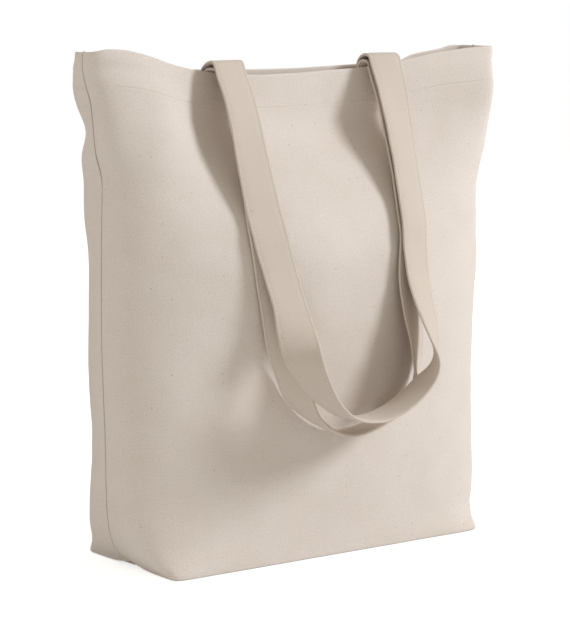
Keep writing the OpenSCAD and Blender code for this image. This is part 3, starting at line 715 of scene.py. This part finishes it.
# a crossed box of stitches holds each strap end to the hem, through all the layers
for name, (loop, side, grid, begin, finish) in loops.items():
    for k, label in enumerate(("left", "right")):
        x0 = loop["foot"][k] * mm
        x, z = x0 + np.array([-1, 1]) * seam["tackWide"] / 2, (seam["tackLow"], seam["tackHigh"])
        corners = [(x[0], z[0]), (x[1], z[0]), (x[1], z[1]), (x[0], z[1]), (x[0], z[0]), (x[1], z[1])]
        corners += [(x[0], z[1]), (x[1], z[0])]
        done = []
        depth = 2 * bag["fold"] + strap["lap"] + strap["thick"]
        for (xa, za), (xb, zb) in zip(corners[:-1], corners[1:]):
            px, pz = np.linspace(xa, xb, 8), np.linspace(za, zb, 8)
            py = wallAt(grid, px, pz)
            for depthHere, facing in ((-0.1 * mm, side), (depth, -side)):
                path = np.stack([px, py - side * depthHere, pz], -1)
                normal = np.tile([0.0, facing, 0.0], (8, 1))
                done.append(stitchesAlong(path, normal, seam["tackPitch"], seam["tackLength"]))
        tack = sew(f"{name}_{label}_tack_stitches", done, seam["thick"])
        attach(tack, "bag")
        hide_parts(f"{name}_{label}_tack")

# two lines of hem stitches, outside and inside the mouth
hemRows = []
stitchRow = int(np.argmin(np.abs(rowLevel[:rimRow] - (bag["high"] - bag["stitchDown"]))))
innerRow = rimRow + int(np.argmin(np.abs(rowLevel[rimRow:] - (bag["high"] - bag["stitchDown"]))))
for grid, side in ((frontGrid, -1), (backGrid, 1)):
    for row, facing in ((stitchRow, 1), (innerRow, -1)):
        path = grid[row]
        tangent = unit(np.gradient(path, axis=0))
        normal = facing * side * np.stack([-tangent[:, 1], tangent[:, 0], 0 * tangent[:, 0]], -1)
        hemRows.append(stitchesAlong(path + normal * seam["proud"], normal, seam["pitch"], seam["length"]))
hemThread = sew("hem_stitches", hemRows, seam["hemThick"])
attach(hemThread, "bag")
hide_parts("hem_stitching")

overlock = {"reach": 4.5 * mm, "pitch": 1.7 * mm, "over": 0.4 * mm, "chain": 0.3 * mm, "thick": 0.45 * mm,
            "tipAt": 0.55, "chainTo": 0.9, "face": 1.15 * mm, "sideLow": 12 * mm, "sideHigh": 365 * mm,
            "baseHalf": 137, "baseUp": 10 * mm}


def overlockBites(edge, inward, facing):
    # slanting bites over a raw edge, on one face of it, and the chain that lies along the edge
    pitch, reach = overlock["pitch"], overlock["reach"]
    run = lengthAlong(edge)
    at = np.arange(pitch, run[-1] - pitch, pitch)
    up = np.tile(np.array(facing, float), (len(at), 1))
    into = np.array(inward, float)
    first, last = pickAt(edge, run, at), pickAt(edge, run, at + pitch)
    tip = pickAt(edge, run, at + pitch * overlock["tipAt"]) + into * reach
    chainEnd = pickAt(edge, run, at + pitch * overlock["chainTo"])
    return [(first - into * overlock["over"], tip, up), (tip, last - into * overlock["over"], up),
            (first - into * overlock["chain"], chainEnd - into * overlock["chain"], up)]


def overlockBoth(name, edge, inward, across, apart):
    # bites on both faces of an edge; across points from one face to the other
    bites = []
    for facing in (-1, 1):
        face = facing * np.array(across, float)
        bites += overlockBites(edge + face * apart, inward, face)
    return sew(name, bites, overlock["thick"], overlockThread)


for label, col, inward in (("left", 0, 1), ("right", -1, -1)):
    low = 4 + int(np.searchsorted(rowLevel[4:rimRow], overlock["sideLow"]))
    high = int(np.searchsorted(rowLevel[:rimRow], overlock["sideHigh"]))
    edge = frontGrid[low:high, col] + [inward * bag["allowance"], 0, 0]
    edge[:, 1] = 0
    edging = overlockBoth(label + "_side_overlocking", edge, (-inward, 0, 0), (0, 1, 0), overlock["face"])
    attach(edging, "bag")
    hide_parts(label + "_side_overlock")

baseAcross = np.linspace(-overlock["baseHalf"], overlock["baseHalf"], 60) * mm
baseEdge = np.stack([baseAcross, np.zeros(60), np.full(60, overlock["baseUp"])], -1)
baseEdging = overlockBoth("base_overlocking", baseEdge, (0, 0, -1), (0, 1, 0), overlock["face"])
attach(baseEdging, "bag")
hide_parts("base_overlock")

# the boxed corners' own allowances stand along both ends of the base, inside
corner = {"in": 2 * mm, "low": 1 * mm, "wave": 0.6 * mm, "waves": 90, "narrows": 0.16, "face": 0.6 * mm}
for label, toward in (("left", -1), ("right", 1)):
    low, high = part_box(label + "_corner_allowance")
    x = toward * (bag["baseHalf"] - bag["baseFold"] - corner["in"])
    y = np.linspace(low.y, high.y, 41)
    z = np.linspace(corner["low"], high.z, 5)
    yy, zz = np.meshgrid(y, z)
    xx = x + corner["wave"] * np.sin(yy * corner["waves"]) * zz / high.z
    yy *= 1 - corner["narrows"] * zz / high.z
    strip = makePiece(label + "_corner_strip", np.stack([xx, yy, zz], -1).reshape(-1, 3),
                      quads(np.arange(xx.size).reshape(xx.shape)), canvas,
                      np.stack([yy + 0.1, zz + 0.1], -1).reshape(-1, 2))
    thick = strip.modifiers.new("cloth", "SOLIDIFY")
    thick.thickness, thick.offset = bag["cloth"], 0
    top = np.stack([xx[-1], yy[-1], zz[-1]], -1)
    edging = overlockBoth(label + "_corner_overlocking", top, (0, 0, -1), (1, 0, 0), corner["face"])
    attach(strip, "bag")
    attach(edging, "bag")
    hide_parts(label + "_corner_allowance")
print("stitching done")

# floor, world and lamps
studio = {"floorRadius": 4.0, "floorDown": 0.3 * mm, "floorTone": 0.80, "floorGlow": 0.66, "world": 0.50,
          "worldColour": (1, 0.935, 0.82, 1)}
lamps = {"key": {"share": 0.71, "turn": 46, "rise": 31, "away": 3.0, "size": 0.9,
                 "colour": (0.95, 1, 1.07)},
         "fill": {"share": 0.20, "turn": -88, "rise": 12, "away": 3.0, "size": 2.0,
                  "colour": (0.97, 1, 1.04)}}


def plainRays(tree):
    # 1 for what the camera, a reflection or a clear material shows of the background
    seen = grow(tree, "LightPath").outputs
    mirrored = calc(tree, "MAXIMUM", seen["Is Glossy Ray"], seen["Is Transmission Ray"])
    return calc(tree, "MAXIMUM", seen["Is Camera Ray"], mirrored)


def makeFloor(s):
    turn = np.linspace(0, 2 * math.pi, 97)[:-1]
    rings = [0.3, 1, 2, s["floorRadius"]]
    points = [[r * math.cos(a), r * math.sin(a), -s["floorDown"]] for r in rings for a in turn]
    ids = np.arange(len(points)).reshape(len(rings), len(turn))
    faces = quads(np.concatenate([ids, ids[:, :1]], 1))[:, ::-1].tolist() + [ids[0].tolist()]
    finish = bpy.data.materials.new("studio floor")
    finish.use_nodes = True
    tree = finish.node_tree
    tree.nodes.remove(tree.nodes["Principled BSDF"])
    matt = grow(tree, "BsdfDiffuse", {"Color": (s["floorTone"],) * 3 + (1,)})
    glow = grow(tree, "Emission", {"Strength": calc(tree, "MULTIPLY", plainRays(tree), s["floorGlow"])})
    both = grow(tree, "AddShader", {0: matt.outputs[0], 1: glow.outputs[0]})
    tree.links.new(both.outputs[0], tree.nodes["Material Output"].inputs["Surface"])
    floor = makePiece("studio_floor", points, faces, finish)


def lightWorld(s):
    world = bpy.data.worlds.new("studio")
    bpy.context.scene.world = world
    world.use_nodes = True
    tree = world.node_tree
    tree.nodes["Background"].inputs["Strength"].default_value = s["world"]
    tree.nodes["Background"].inputs["Color"].default_value = s["worldColour"]
    white = grow(tree, "Background", {"Color": (1, 1, 1, 1), "Strength": 1.0})
    lit = tree.nodes["Background"].outputs[0]
    both = grow(tree, "MixShader", {0: plainRays(tree), 1: lit, 2: white.outputs[0]})
    tree.links.new(both.outputs[0], tree.nodes["World Output"].inputs["Surface"])


def addLamp(name, s):
    # share is how brightly the lamp alone lights a white surface that faces it
    toward = direction(s["turn"], s["rise"])
    lamp = bpy.data.lights.new(name, "AREA")
    lamp.shape, lamp.size, lamp.color = "DISK", s["size"], s["colour"]
    lamp.energy = s["share"] * math.pi ** 2 * s["away"] ** 2
    holder = bpy.data.objects.new(name, lamp)
    bpy.context.scene.collection.objects.link(holder)
    holder.location = toward * s["away"] + Vector((0, 0, bag["high"] / 2))
    holder.rotation_mode = "QUATERNION"
    holder.rotation_quaternion = toward.to_track_quat("Z", "Y")


makeFloor(studio)
lightWorld(studio)
for name, settings in lamps.items():
    addLamp(name, settings)
bpy.context.scene.view_settings.view_transform = "Standard"
print("studio lit")
